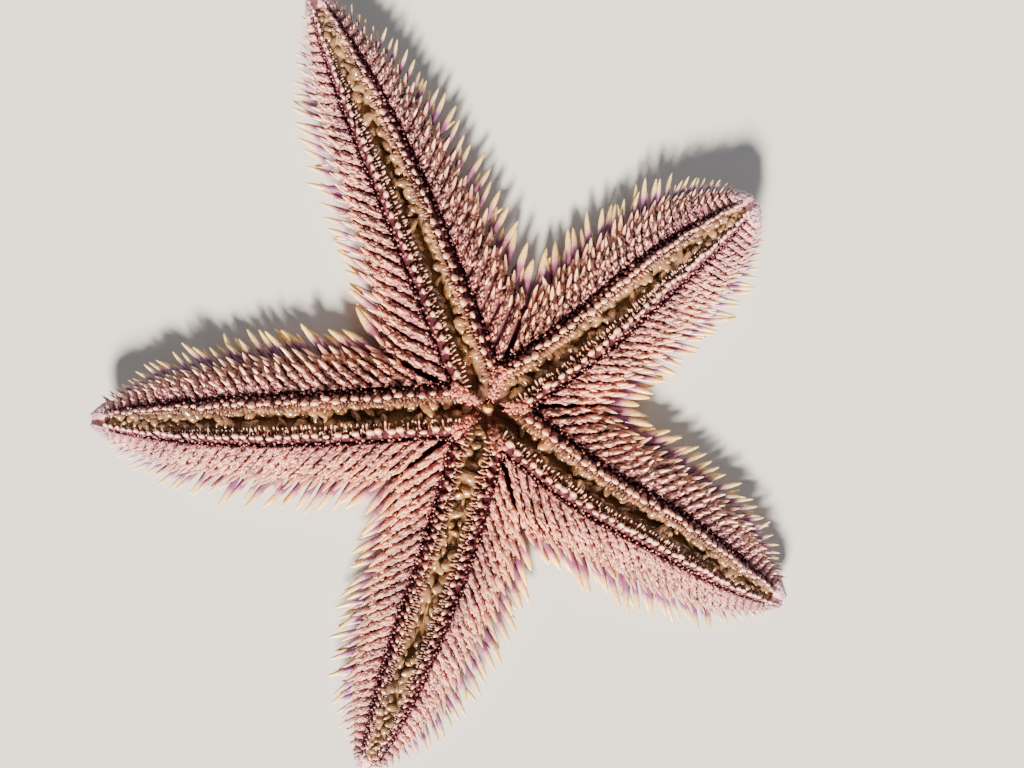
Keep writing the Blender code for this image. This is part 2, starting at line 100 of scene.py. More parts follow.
ROW_CURVE = 0.6  # how curved the skin is from row to row
FLOOR_RISE = 0.22  # share of the height that the groove's floor rises towards the tip

# The relief: furrows between plates, deeper near the disc, and notches in the groove's edge
PLATES = 28  # marginal plates on each side of an arm
PEG_PLATES = 40  # small plates along each edge of a groove
PLATE_RELIEF = 0.00120
NEAR_RELIEF = 1.2  # how much more of it near the disc
NEAR_SHARE = 0.09
FURROW_POWER = 0.65  # smaller is narrower
TIP_FURROW_POWER = 0.20  # less of it at the tip
FURROW_INWARD = (5.6, 0.6)  # beyond this row furrows lead inwards too, by this share
FURROW_UNDER = (7.2, -0.3)  # beyond this row they lead up, by this share
NOTCH_ROW = (1.7, 0.9)  # middle and half-width, in rows
NOTCH_DEPTH = 0.0003
CAP_START = 0.955  # where the tip closes, as a share of the arm
CAP_CLOSING = 0.97
CAP_UP = 0.45

# The skin's grid: spans of rows with the number of points, and rings along the arm
ROW_SPANS = ((0.0, 4.0, 21), (4.2, 8.6, 18), (8.8, 10.0, 6))
STEPS = 7  # rings to a plate
TIP_RINGS = (1.0, 1.012, 1.025, 1.038, 1.048, 1.057, 1.064, 1.069)
HUB_RINGS = (0.16, 0.42, 0.72)  # inside the mouth's edge, as shares of its distance
HUB_SHARES = (-0.09, -0.06, -0.03)  # their places along the arm's chart
HUB_TOP = 0.0045
HUB_GAP_FROM = 0.003

# The core: a share of its rim, the height there, and its place in the skin's colours; its top takes
# the trench's near-black, painted shade in the gaps between the arms
CORE_SIDES = 120
CORE_ARM_REACH = 0.0124
CORE_INSET = 0.0009
CORE_LEVELS = (
    (0.02, 0.0003, 1.0),
    (0.80, 0.0003, 1.0),
    (0.97, 0.0020, 0.9),
    (1.00, 0.0040, 0.4),
    (0.92, 0.0050, 0.34),
    (0.62, 0.0052, 0.32),
    (0.30, 0.0052, 0.30),
    (0.02, 0.0046, 0.30),
)

# The skin's colours near the mouth, painted darker there for the mouth's shade, and on the cap
# beyond the groove's end
MOUTH_SHADE_ZONE, MOUTH_SHADE_SHARES, MOUTH_SHADE_ROW = 0.09, (-0.02, 0.07), 2.5
CAP_ZONE, CAP_ZONE_SHARES, CAP_ZONE_ROW = 0.55, (0.985, 1.012), 4.4
# Painted shade: across these rows the skin is darkened in the furrows between the plates
SHADED_SEAM_ROWS = (3.9, 8.6)
SEAM_SHADE_POWER = 0.7

# The bake map: each arm is a strip, and what stands on the disc lies beyond the strips
CHART_START = 0.12
CHART_LENGTH = 0.80
CHART_SHARES = (-0.10, 1.08)
CHART_HALF_STRIP = 0.47
STRIPS_END = 0.925
PATCH = 0.003  # the size of a small piece's patch
CORE_CHART = ((0.95, 0.02), 0.04)
WHOLE_CHART = ((0.05, 0.05), 0.9)
DISC_SPOT = (0.97, 0.04)

# The forms of small pieces: places along them, and shares of their radius there
SPINE = ((0.0, 0.80), (0.22, 0.96), (0.48, 1.0), (0.70, 0.84), (0.86, 0.56), (0.96, 0.26))
LANCE = ((0.0, 0.70), (0.25, 1.0), (0.5, 0.88), (0.74, 0.58), (0.91, 0.26))
CLUB = ((0.0, 0.62), (0.32, 0.56), (0.60, 0.84), (0.82, 1.0), (0.95, 0.74))
NEEDLE = ((0.0, 1.0), (0.4, 0.9), (0.75, 0.85), (0.95, 0.5))
LEAF = ((0.0, 0.7), (0.55, 1.0))
FOOT = (
    (0.0, 0.35), (0.10, 0.84), (0.28, 1.0), (0.50, 0.97), (0.70, 0.84), (0.86, 0.60), (0.96, 0.30),
)
BEAD = ((0.0, 0.9), (0.5, 1.0), (0.85, 0.6))
ROSETTE = ((0.0, 0.75), (0.7, 1.0), (1.0, 0.92))

# The scales on the marginal plates
SCALE_COATS = (("inner_squamules", (3.92, 5.50)), ("outer_squamules", (5.50, 7.15)))
SCALES = 46  # on each half of a plate
SCALE_SPREAD = 0.66  # of a plate's width
SCALE_LENGTH = 0.00098
SCALE_RADIUS = 0.00034
SCALE_TILTS = (0.08, 0.62)
SCALE_LEAN = 0.30  # towards the tip
SCALE_FAN = 0.5
SCALE_SCATTER = 0.3
SCALE_SINK = 0.00012
CLUMP_LIFT = 0.00034
TALL_SCALES = (0.25, 0.7)  # the share of them that are taller, and by how much
BARE_SHARES = (0.72, 0.96)  # where the plates become barer
GOLDEN = 0.618034

# Rows of spines that point outwards: row, length, radius, flatness, and how far they sweep along
# the arm, rise and scatter
Row = namedtuple("Row", "t length radius flat sweep rise spread")
UPPER_SPINES = Row(6.95, 0.0080, 0.00063, 0.62, 0.60, 0.05, 0.16)
LOWER_SPINES = Row(7.22, 0.0060, 0.000441, 0.70, 0.48, -0.03, 0.22)
TIP_SPINES = [Row(t, 0.0021, 0.00032, 0.80, 1.30, 0.10, 0.25) for t in (5.2, 6.0, 6.8, 7.6)]
UNDER_SPINES = Row(7.70, 0.0030, 0.00042, 0.80, 0.30, -0.06, 0.10)
SPINE_WIDENING = 26 / 63  # how much of their radius is added near the disc
UPPER_PLACE, LOWER_PLACE = 0.42, 0.62  # across a plate
TIP_PLACES = (1.0, 1.03)
SPINE_SINK = 0.0005
CORNER_SWEEP = 0.55
# The blades on the plates' faces: place across a plate, and row
LANCES = (
    (0.40, Row(6.10, 0.0039, 0.00056, 0.5, 0.75, 0.40, 0.26)),
    (0.60, Row(5.65, 0.0030, 0.00044, 0.5, 0.75, 0.48, 0.26)),
    (0.36, Row(5.15, 0.0031, 0.00048, 0.5, 0.75, 0.60, 0.26)),
    (0.58, Row(4.65, 0.0025, 0.00042, 0.5, 0.75, 0.72, 0.26)),
    (0.44, Row(4.20, 0.0021, 0.00038, 0.5, 0.75, 0.84, 0.26)),
)

# The groove's edges: row, length, radius, and lean over the groove
PEG_ROW, PEG_LENGTH, PEG_RADIUS, PEG_LEAN, PEG_FLAT = 2.05, 0.0025, 0.00082, 0.46, 0.56
PEG_WIDTHS = (0.92, 1.0, 1.0, 0.68, 1.0)  # of each arm, as shares
INNER_COMB = (1.1, 0.0021, 0.00026)  # row, length and radius
OUTER_COMB = (1.5, 0.0017, 0.00024)
COMB_LEANS = (0.85, 1.1, 0.85)  # of the three spines on one plate
# Lines of spinelets outside the pegs: row, number, length, radius and lean towards the groove
TRENCH = (
    (2.42, 44, 0.0019, 0.00046, 0.30),
    (2.80, 70, 0.0013, 0.00030, -0.05),
    (3.35, 90, 0.0010, 0.00020, -0.35),
    (3.80, 80, 0.0012, 0.00022, -0.50),
)
UPRIGHT_SINK = 0.0003
FEET = 64  # tube feet in each row
FOOT_ROW = 0.46
FOOT_LENGTH = 0.0026
FOOT_RADIUS = 0.00116
FOOT_SINK = 0.0004
INNER_FOOT_DROP = 0.0010

# The back
ROSETTE_STEP = 0.00128
ROSETTE_LINES = 10
ROSETTE_LINE_ROWS = 0.138
ROSETTE_LENGTH = 0.00052
ROSETTE_RADIUS = 0.00060
SPOTS = 420  # rosettes over the disc's middle
SPOT_REACH = 0.0185
SPOT_APART = 0.0009
SPOT_LENGTH = 0.00044
SPOT_RADIUS = 0.00058
SPOT_LEVEL = 0.0005
SIEVE_PLACE = 0.0130  # from the mouth towards the first corner
SIEVE_RADIUS = 0.0015
SIEVE_CLEAR = 0.0020
SIEVE_LEVEL = 0.00004
SIEVE_EDGE_RISE = 0.00018
SIEVE_GROOVES = 0.00016
PLATE_BEADS = 16
TIP_BEADS = 300
# The plate at each arm's tip: lobes by place across it and share of the height
TERMINAL_START = 0.962
TERMINAL_LOBES = ((0.0006, 0.52), (-0.0006, 0.52), (0.0, 0.34))

# The jaws, at shares of their length: shares of their width, and heights
JAW_TIPS = (0.0022, 0.0038, 0.0044, 0.0034, 0.0025)
JAW_END = 0.0088
JAW_HALF_WIDTH = 0.0018
JAW_FOOT = 0.0070
JAW_PARTS = (0.0, 0.35, 0.75, 1.0)
JAW_SHARES = (0.22, 0.54, 0.74, 0.80)
JAW_TOPS = (0.0088, 0.0100, 0.0107, 0.0103)
JAW_RINGS = 22
JAW_SIDES = 36
JAW_SQUARENESS = 0.7
JAW_SEAM_WIDTH = 0.00035
JAW_SEAM_DEPTH = 0.0007

# Bands of papillae: from and to a share of the half-width, number, length, radius, splay and lean
PAPILLA_LINES = (
    (0.88, 1.0, 8, 0.0011, 0.00030, 0.35, 0.45),
    (0.60, 0.86, 9, 0.0008, 0.00040, 0.25, 0.30),
    (0.36, 0.60, 9, 0.0006, 0.00042, 0.1, 0.25),
    (0.12, 0.34, 8, 0.0005, 0.00038, 0.0, 0.25),
)
TEETH = 4  # slender ones at a jaw's tip
TEETH_HALF_SPREAD = 0.0004
TOOTH_LENGTHS = (0.0010, 0.0019)
TOOTH_RADIUS = 0.00013

# The mouth's soft floor, with a lip at its middle
LINING_SHARE = 0.9
LINING_LEVEL = 0.0050
LINING_RISE = 0.0010
LIP_RISE = 0.0030
LIP_SHARE = 0.13
FOLD_DEPTH = 0.0002

# The photo's plane, and the lights: kind, place, angle or size, power and colour
PHOTO_MIDDLE = (0.0048, 0.0048)
PHOTO_LEVEL = 0.008
PHOTO_WIDTH = 0.2048
LENS = 50.0
SENSOR = 36.0
FLOOR_SIZE = 20.0
FLOOR_LEVEL = -0.0001
FLOOR_COLOUR = (0.62, 0.60, 0.57)
LIGHTS = (
    ("key", "SUN", (-0.09, -0.45, 0.30), 0.22, 19.5, (1.0, 0.91, 0.79)),
    ("fill", "AREA", (0.30, 0.35, 0.50), 0.5, 1.0, (0.94, 0.96, 1.0)),
)
SURROUND_COLOUR = (0.84, 0.88, 1.0)
SURROUND_STRENGTH = 0.20

rng = np.random.default_rng(SEED)


def unit(v):
    return v / np.maximum(np.linalg.norm(v, axis=-1, keepdims=True), 1e-12)


def heading(degrees):
    return np.array((math.cos(math.radians(degrees)), math.sin(math.radians(degrees)), 0.0))


def smooth(x, low, high):
    """0 below low, 1 above high, with an eased slope between."""
    part = np.clip((x - low) / (high - low), 0.0, 1.0)
    return part * part * (3.0 - 2.0 * part)


def turns(sides):
    return 2.0 * np.pi * np.arange(sides) / sides


def circle(turn):
    """Points at radius 1."""
    return np.stack((np.cos(turn), np.sin(turn), 0.0 * turn), -1)


def row_at(t):
    """The values of ROWS at t, between its rows too."""
    low = np.clip(np.floor(t).astype(int), 0, len(ROWS) - 2)
    f = (t - low)[..., None]
    before, after = ROWS[np.maximum(low - 1, 0)], ROWS[np.minimum(low + 2, len(ROWS) - 1)]
    a, b = ROWS[low], ROWS[low + 1]
    cubic = f * (3 * (a - b) + after - before)
    curve = a + 0.5 * f * (b - before + f * (2 * before - 5 * a + 4 * b - after + cubic))
    return curve * ROW_CURVE + (a + (b - a) * f) * (1.0 - ROW_CURVE)


def furrow(share):
    """How deep the skin lies between two plates, in metres."""
    power = FURROW_POWER - TIP_FURROW_POWER * smooth(share, 0.7, 0.95)
    seam = 1.0 - np.abs(np.sin(np.pi * share * PLATES)) ** power
    deep = PLATE_RELIEF * (1.0 + NEAR_RELIEF * np.exp(-share / NEAR_SHARE)) * (share < 1.0)
    return seam * deep


class Limb:
    """The skin of one arm as a function of side, share and t."""

    def __init__(self, index):
        self.index = index
        self.arm = ARMS[index]
        self.out = heading(self.arm.azimuth)
        self.left = heading(self.arm.azimuth + 90.0)
        self.corner = {}
        for side, (azimuth, radius) in ((1, CORNERS[index - 1]), (-1, CORNERS[index])):
            turn = abs(math.radians((azimuth - self.arm.azimuth + 180.0) % 360.0 - 180.0))
            self.corner[side] = (radius * math.cos(turn), radius * math.sin(turn), turn)

    def centre(self, s):
        x = np.clip((s - DISC_REACH) / (self.arm.length - DISC_REACH), 0.0, None)
        aside = self.arm.sweep * x * x + self.arm.bulge * np.sin(np.pi * x) ** 2
        y = np.clip((s / self.arm.length - LIFT_FROM) / (1.0 - LIFT_FROM), 0.0, None)
        place = self.out * s[..., None] + self.left * aside[..., None]
        place[..., 2] += self.arm.lift * y * y
        return place

    def point(self, s, u, w):
        step = self.arm.length / 200.0
        along = unit(self.centre(s + step) - self.centre(s - step))
        left = unit(np.cross(UP, along))
        up = np.cross(along, left)
        return self.centre(s) + left * u[..., None] + up * w[..., None]

    def share_of(self, s):
        return np.clip(s / self.arm.length, 0.0, 1.0)

    def profile(self, s):
        return self.arm.width * (1.0 - self.share_of(s) ** self.arm.fullness) ** ARM_ROUNDING

    def half_width(self, s, side):
        start, width, _ = self.corner[side]
        flare = np.exp(-np.clip(s - start, 0.0, None) / BASE_FLARE)
        return self.profile(s) + (width - self.profile(np.array(start))) * flare

    def height(self, s):
        full = (1.0 - self.share_of(s) ** HEIGHT_FULLNESS) ** HEIGHT_ROUNDING
        return TIP_HEIGHT + (BODY_HEIGHT - TIP_HEIGHT) * full

    def groove(self, s):
        lost = GROOVE_NARROWING * self.share_of(s) ** GROOVE_FULLNESS
        return GROOVE_HALF_WIDTH * (1.0 - lost)

    def station(self, side, share, row):
        """The distance s at a share of the row, each row from its own start."""
        start, _, turn = self.corner[side]
        inner = (PLATE_START * GROOVE_HALF_WIDTH + PLATE_GAP) / math.tan(turn) + PLATE_GAP
        first = row[..., 3] * MOUTH_RADIUS + row[..., 4] * inner + row[..., 5] * start
        eased = share * (1.0 + PLATE_CROWDING) - PLATE_CROWDING * share * share
        return np.minimum(first + (self.arm.length * LAST_STATION - first) * eased, self.arm.length)

    def place(self, side, share, t, relief=True):
        """(s, u, w) on the skin."""
        share, t = np.broadcast_arrays(np.asarray(share, float), np.asarray(t, float))
        row = row_at(t)
        s = self.station(side, share, row)
        g = self.groove(s)
        u = row[..., 0] * g + row[..., 1] * (self.half_width(s, side) - PLATE_START * g)
        fill = FLOOR_RISE * smooth(share, 0.45, 0.9) * np.clip(1.0 - t, 0.0, 1.0)
        w = (row[..., 2] + fill) * self.height(s) + row[..., 7]
        if relief:
            sunk = furrow(share) * row[..., 6]
            u -= sunk * FURROW_INWARD[1] * (t > FURROW_INWARD[0])
            w -= sunk * np.where(t < FURROW_UNDER[0], 1.0, FURROW_UNDER[1])
            edge = np.clip(1.0 - np.abs(t - NOTCH_ROW[0]) / NOTCH_ROW[1], 0.0, 1.0)
            w -= NOTCH_DEPTH * edge * np.abs(np.cos(np.pi * share * PEG_PLATES))
        cap = np.clip((s / self.arm.length - CAP_START) / (1.0 - CAP_START), 0.0, 1.0)
        middle = CAP_UP * self.height(s)
        w = middle + (w - middle) * np.sqrt(1.0 - cap * cap * CAP_CLOSING)
        return s, side * u, w

    def skin(self, side, share, t, relief=True):
        return self.point(*self.place(side, share, t, relief))

    def frame(self, side, share, t):
        """The point, and the directions outwards along the arm, round it and off the skin."""
        here = self.skin(side, share, t)
        flat = self.skin(side, share, t, False)
        along = unit(self.skin(side, share + 0.004, t, False) - flat)
        around = unit(self.skin(side, share, t + 0.04, False) - flat)
        off = unit(np.cross(along, around)) * side
        return here, along, around, off

    def chart(self, side, share, t):
        """The place in the bake map: each arm is a strip, with the groove along its middle."""
        across = np.clip(t / BACK, 0.0, 1.0) * side
        low, high = CHART_SHARES
        u = CHART_START + CHART_LENGTH * np.clip(share, low, high) / high
        v = (self.index + 0.5 + CHART_HALF_STRIP * across) / len(ARMS)
        return np.stack(np.broadcast_arrays(u, v), -1)


LIMBS = [Limb(k) for k in range(len(ARMS))]
SIEVE = heading(CORNERS[0][0]) * SIEVE_PLACE


def each_side():
    for limb in LIMBS:
        for side in (1, -1):
            yield limb, side


def outward(along, side):
    """The level direction away from the groove."""
    return unit(np.cross(UP, along)) * side


def taper(share):
    """How small pieces become towards the tip of an arm."""
    return 1.0 - 0.5 * np.clip(share - 0.15, 0.0, None) ** 1.5


def clear_of_sieve(points):
    return np.hypot(*(points - SIEVE)[:, :2].T) > SIEVE_CLEAR


def build(name, points, faces, uv, layers, material):
    """A smooth mesh from arrays. layers are values by point that its material reads."""
    mesh = bpy.data.meshes.new(name)
    mesh.vertices.add(len(points))
    mesh.vertices.foreach_set("co", np.asarray(points, np.float32).ravel())
    mesh.loops.add(faces.size)
    mesh.loops.foreach_set("vertex_index", faces.astype(np.int32).ravel())
    mesh.polygons.add(len(faces))
    starts = (np.arange(len(faces)) * faces.shape[1]).astype(np.int32)
    mesh.polygons.foreach_set("loop_start", starts)
    mesh.polygons.foreach_set("use_smooth", np.ones(len(faces), bool))
    mesh.update(calc_edges=True)
    layer = mesh.uv_layers.new(name="OFBake")
    layer.data.foreach_set("uv", np.asarray(uv, np.float32).ravel())
    for key, values in layers.items():
        made = mesh.attributes.new(key, "FLOAT", "POINT")
        made.data.foreach_set("value", np.asarray(values, np.float32).ravel())
    mesh.materials.append(material)
    piece = bpy.data.objects.new(name, mesh)
    bpy.context.scene.collection.objects.link(piece)
    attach(piece, "root")
    return piece


def ring_faces(rings, sides):
    i, j = np.meshgrid(np.arange(rings - 1), np.arange(sides), indexing="ij")
    i, j = i.ravel(), j.ravel()
    k = (j + 1) % sides
    return np.stack((i * sides + j, i * sides + k, (i + 1) * sides + k, (i + 1) * sides + j), -1)


def face_chart(faces, rings, sides, corner, size):
    """An even chart of a lofted form inside one square of the bake map."""
    i, j = faces[:, 0] // sides, faces[:, 0] % sides
    across = np.stack((j, j + 1, j + 1, j), -1) / sides
    up = np.stack((i, i, i + 1, i + 1), -1) / rings
    return (np.array(corner) + size * np.stack((across, up), -1)).reshape(-1, 2)


def loft(name, points, zone, seam, material):
    """A lofted form that has the whole bake map to itself."""
    rings, sides = points.shape[:2]
    faces = ring_faces(rings, sides)
    uv = face_chart(faces, rings, sides, *WHOLE_CHART)
    layers = {"zone": zone.ravel(), "seam": seam.ravel()}
    return build(name, points.reshape(-1, 3), faces, uv, layers, material)


class Batch:
    """Many small pieces of one form, gathered as arrays and built as one mesh."""

    def __init__(self, rings, sides):
        self.rings = np.array(rings, float)  # place along and radius; a tip point is added
        self.sides = sides
        self.parts = []

    def add(self, root, ahead, wide, length, radius, uv, flat=1.0, bend=None, tint=None):
        n = len(root)
        if tint is None:
            tint = rng.random(n)
        if bend is None:
            bend = np.zeros((n, 3))
        full = np.ones(n)
        self.parts.append(
            (root, unit(ahead), wide, full * length, full * radius, uv, full * flat, bend, tint)
        )

    def make(self, name, material):
        root, ahead, wide, length, radius, uv, flat, bend, tint = (
            np.concatenate(column) for column in zip(*self.parts)
        )
        wide = unit(wide - ahead * (wide * ahead).sum(-1, keepdims=True))
        high = np.cross(ahead, wide)
        n, m, rings = len(root), self.sides, self.rings
        turn = turns(m)
        points = np.zeros((n, len(rings) * m + 1, 3))
        for i, (along, share) in enumerate(rings):
            spot = root + ahead * (along * length)[:, None] + bend * (along**2 * length)[:, None]
            for j in range(m):
                side = wide * (math.cos(turn[j]) * radius * share)[:, None]
                rise = high * (math.sin(turn[j]) * radius * share * flat)[:, None]
                points[:, i * m + j] = spot + side + rise
        points[:, -1] = root + (ahead + bend) * length[:, None]
        faces, corners = self.template()
        count = points.shape[1]
        all_faces = (faces[None] + (np.arange(n) * count)[:, None, None]).reshape(-1, 3)
        chart = uv[:, None, :] + (corners.reshape(-1, 2)[None] - 0.5) * PATCH
        share = (uv[:, 0] - CHART_START) * CHART_SHARES[1] / CHART_LENGTH
        layers = {
            "along": np.tile(np.append(np.repeat(rings[:, 0], m), 1.0), n),
            "tint": np.repeat(tint, count),
            "far": np.repeat(np.where(uv[:, 0] < STRIPS_END, share, 0.0), count),
        }
        return build(name, points.reshape(-1, 3), all_faces, chart.reshape(-1, 2), layers, material)

    def template(self):
        """The triangles of one piece, and where their corners lie in its patch."""
        faces, corners = [], []
        m, last = self.sides, len(self.rings) - 1
        for i in range(last):
            for j in range(m):
                a, b = i * m + j, i * m + (j + 1) % m
                c, d = b + m, a + m
                x, y = j / m, (j + 1) / m
                low, high = self.rings[i, 0], self.rings[i + 1, 0]
                faces += [(a, b, c), (a, c, d)]
                corners += [((x, low), (y, low), (y, high)), ((x, low), (y, high), (x, high))]
        for j in range(m):
            a, b = last * m + j, last * m + (j + 1) % m
            faces.append((a, b, (last + 1) * m))
            low = self.rings[last, 0]
            corners.append(((j / m, low), ((j + 1) / m, low), ((j + 0.5) / m, 1.02)))
        return np.array(faces), np.array(corners)


def squamules(name, rows, material):
    """The fine overlapping scales that cover the marginal plates, between two rows."""
    batch = Batch(LEAF, 4)
    plate = np.repeat(np.arange(PLATES + 1), SCALES)
    n = len(plate)
    line = np.tile(np.arange(SCALES) + 0.5, PLATES + 1) / SCALES
    for limb, side in each_side():
        across = 0.5 + SCALE_SPREAD * (np.modf(line * SCALES * GOLDEN)[0] - 0.5)
        across = across + rng.normal(0.0, 0.04, n)
        share = (plate + across) / PLATES
        t = rows[0] + (rows[1] - rows[0]) * (line + rng.normal(0.0, 0.02, n))
        here, along, around, off = limb.frame(side, share, t)
        bare = smooth(share, *BARE_SHARES)
        waves = np.sin(2.0 * np.pi * (1.7 * across + 0.37 * plate))
        waves = waves * np.sin(2.0 * np.pi * 1.15 * t + 2.1 * plate)
        clump = (0.5 + 0.5 * waves) * (1.0 - bare)
        tilt = rng.uniform(*SCALE_TILTS, n)[:, None] * (1.0 - 0.75 * bare)[:, None]
        fan = (across - 0.5)[:, None] * SCALE_FAN + rng.normal(0.0, SCALE_SCATTER, (n, 1))
        ahead = around + along * (SCALE_LEAN + fan) + off * tilt
        size = taper(share) * rng.uniform(0.65, 1.3, n) * (1.0 - 0.5 * bare)
        tall = 1.0 + TALL_SCALES[1] * (rng.random(n) < TALL_SCALES[0]) * (1.0 - bare)
        # Painted shade: scales low between the clumps take more of the darker shade colour; the
        # inner rows, towards the groove, are darker too
        outer = smooth(t, 3.9, 5.4)
        tint = 0.6 * rng.random(n) + 0.55 - 0.55 * outer + 0.5 * (0.5 - clump)
        batch.add(
            here + off * (CLUMP_LIFT * clump - SCALE_SINK)[:, None], ahead, np.cross(off, ahead),
            SCALE_LENGTH * size * tall, SCALE_RADIUS * size, limb.chart(side, share, t),
            flat=0.5, tint=np.clip(tint, 0.0, 1.0),
        )
    return batch.make(name, material)


def fringe(batch, limb, side, share, row, end=1.0, near=0.0):
    """One row of spines that point outwards: smaller by end, and wider by near."""
    n = len(share)
    here, along, _, _ = limb.frame(side, share, row.t)
    corner = CORNER_SWEEP * np.exp(-share * PLATES / 3.2)
    lean = (row.sweep + corner + rng.normal(0.0, row.spread, n))[:, None]
    lift = (row.rise + rng.normal(0.0, 0.07, n))[:, None]
    ahead = unit(outward(along, side) + along * lean + UP * lift)
    size = taper(share) * rng.uniform(0.82, 1.14, n)
    bend = along * rng.normal(0.08, 0.07, (n, 1)) + UP * rng.normal(-0.02, 0.04, (n, 1))
    batch.add(
        here - ahead * SPINE_SINK, ahead, np.cross(UP, ahead), row.length * end * size,
        row.radius * (1.0 + SPINE_WIDENING * near) * end * size, limb.chart(side, share, row.t),
        flat=row.flat, bend=bend,
    )


def marginal_spines(material):
    """The spines along the arms' edges: two rows, some at the tip, and small ones beneath."""
    batch = Batch(SPINE, 7)
    plate = np.arange(PLATES)
    near = np.exp(-plate / 4.0)
    upper, lower = (plate + UPPER_PLACE) / PLATES, (plate + LOWER_PLACE) / PLATES
    under = (plate[::2] + 0.5) / PLATES
    end = 1.0 - 0.5 * smooth(upper, 0.55, 1.0)
    for limb, side in each_side():
        fringe(batch, limb, side, upper, UPPER_SPINES, end, near)
        fringe(batch, limb, side, lower, LOWER_SPINES, end, near)
        for row in TIP_SPINES:
            fringe(batch, limb, side, np.array(TIP_PLACES), row)
        fringe(batch, limb, side, under, UNDER_SPINES)
    return batch.make("marginal_spines", material)


def lance_spines(material):
    """The flat blades that lie on the plates' faces."""
    batch = Batch(LANCE, 6)
    for limb, side in each_side():
        for across, row in LANCES:
            share = (np.arange(PLATES) + across + rng.uniform(-0.12, 0.12, PLATES)) / PLATES
            end = 1.0 - 0.35 * smooth(share, 0.6, 0.95)
            fringe(batch, limb, side, share, row, end)
    return batch.make("lance_spines", material)


def upright(batch, limb, side, share, t, length, radius, inward, distal, spread, flat=1.0):
    """Pieces that stand up on the skin, and lean over the groove by inward."""
    n = len(share)
    here, along, _, _ = limb.frame(side, share, t)
    level = outward(along, side)
    ahead = UP - level * (inward + rng.normal(0.0, spread, (n, 1)))
    ahead = unit(ahead + along * (distal + rng.normal(0.0, spread, (n, 1))))
    size = taper(share) * rng.uniform(0.86, 1.12, n)
    batch.add(
        here - ahead * UPRIGHT_SINK, ahead, along, length * size, radius * size,
        limb.chart(side, share, t), flat=flat, bend=level * rng.normal(-0.05, 0.08, (n, 1)),
    )


def pegs(material):
    """The blunt pegs on both edges of the groove."""
    batch = Batch(CLUB, 8)
    share = (np.arange(PEG_PLATES) + 0.5) / PEG_PLATES
    distal = 0.9 * share[:, None] ** 2
    for limb, side in each_side():
        radius = PEG_RADIUS * PEG_WIDTHS[limb.index]
        row = (PEG_ROW, PEG_LENGTH, radius, PEG_LEAN, distal, 0.13, PEG_FLAT)
        upright(batch, limb, side, share, *row)
    return batch.make("pegs", material)


def comb_spines(material):
    """The slender spines that reach over the groove in threes from beneath each peg."""
    batch = Batch(NEEDLE, 5)
    plates = np.arange(PEG_PLATES)
    for limb, side in each_side():
        for k, lean in enumerate(COMB_LEANS):
            share = (plates + 0.2 + 0.3 * k) / PEG_PLATES * 1.015 - 0.015
            narrow = 1.0 - 0.55 * smooth(share, 0.45, 0.95)
            t, length, radius = INNER_COMB
            fan = 0.3 * (k - 1)
            upright(batch, limb, side, share, t, length * narrow, radius, lean, fan, 0.16)
            share = (plates + 0.3 + 0.25 * k) / PEG_PLATES
            t, length, radius = OUTER_COMB
            fan = 0.2 * (k - 1)
            upright(batch, limb, side, share, t, length * narrow, radius, lean - 0.4, fan, 0.16)
    return batch.make("comb_spines", material)


def trench_spines(material):
    """Small spinelets between the pegs and the marginal plates, in a seam painted dark for its
    shade.
    """
    batch = Batch(CLUB, 5)
    for limb, side in each_side():
        for t, n, length, radius, inward in TRENCH:
            share = (np.arange(n) + rng.uniform(0.1, 0.9, n)) / n * 1.02 - 0.02
            rows = t + rng.uniform(-0.12, 0.12, n)
            upright(batch, limb, side, share, rows, length, radius, inward, 0.15, 0.3)
    return batch.make("trench_spines", material)


def tube_feet(material):
    """Soft feet, folded over one another in two rows."""
    batch = Batch(FOOT, 9)
    for limb, side in each_side():
        share = (np.arange(FEET) + 0.5 + 0.22 * side) / (FEET + 0.4) * 1.035 - 0.035
        n = len(share)
        rows = FOOT_ROW + rng.uniform(-0.26, 0.20, n)
        here, along, _, off = limb.frame(side, share, rows)
        level = outward(along, side)
        lean = rng.normal(0.15, 0.30, (n, 1))
        ahead = UP * 0.6 + level * lean + along * rng.normal(0.25, 0.75, (n, 1))
        narrow = limb.groove(limb.place(side, share, 0.42)[0]) / GROOVE_HALF_WIDTH
        bend = -level * rng.normal(0.25, 0.3, (n, 1)) - UP * rng.uniform(0.0, 0.25, (n, 1))
        bend = bend + along * rng.normal(0.0, 0.2, (n, 1))
        full = 0.5 + 0.5 * np.sin(share * 21.0 + 2.0 * limb.index + 0.7 * side)
        # Painted shade: feet near the mouth sit lower and are tinted darker for the mouth's shade
        inner = 1.0 - smooth(share, -0.01, 0.06)
        here[:, 2] -= INNER_FOOT_DROP * inner
        size = narrow**0.7 * rng.uniform(0.8, 1.1, n) * (0.85 + 0.3 * full)
        batch.add(
            here - off * FOOT_SINK, ahead, along, FOOT_LENGTH * size, FOOT_RADIUS * size,
            limb.chart(side, share, rows), bend=bend, tint=np.clip(rng.random(n) + inner, 0.0, 1.0),
        )
    return batch.make("tube_feet", material)


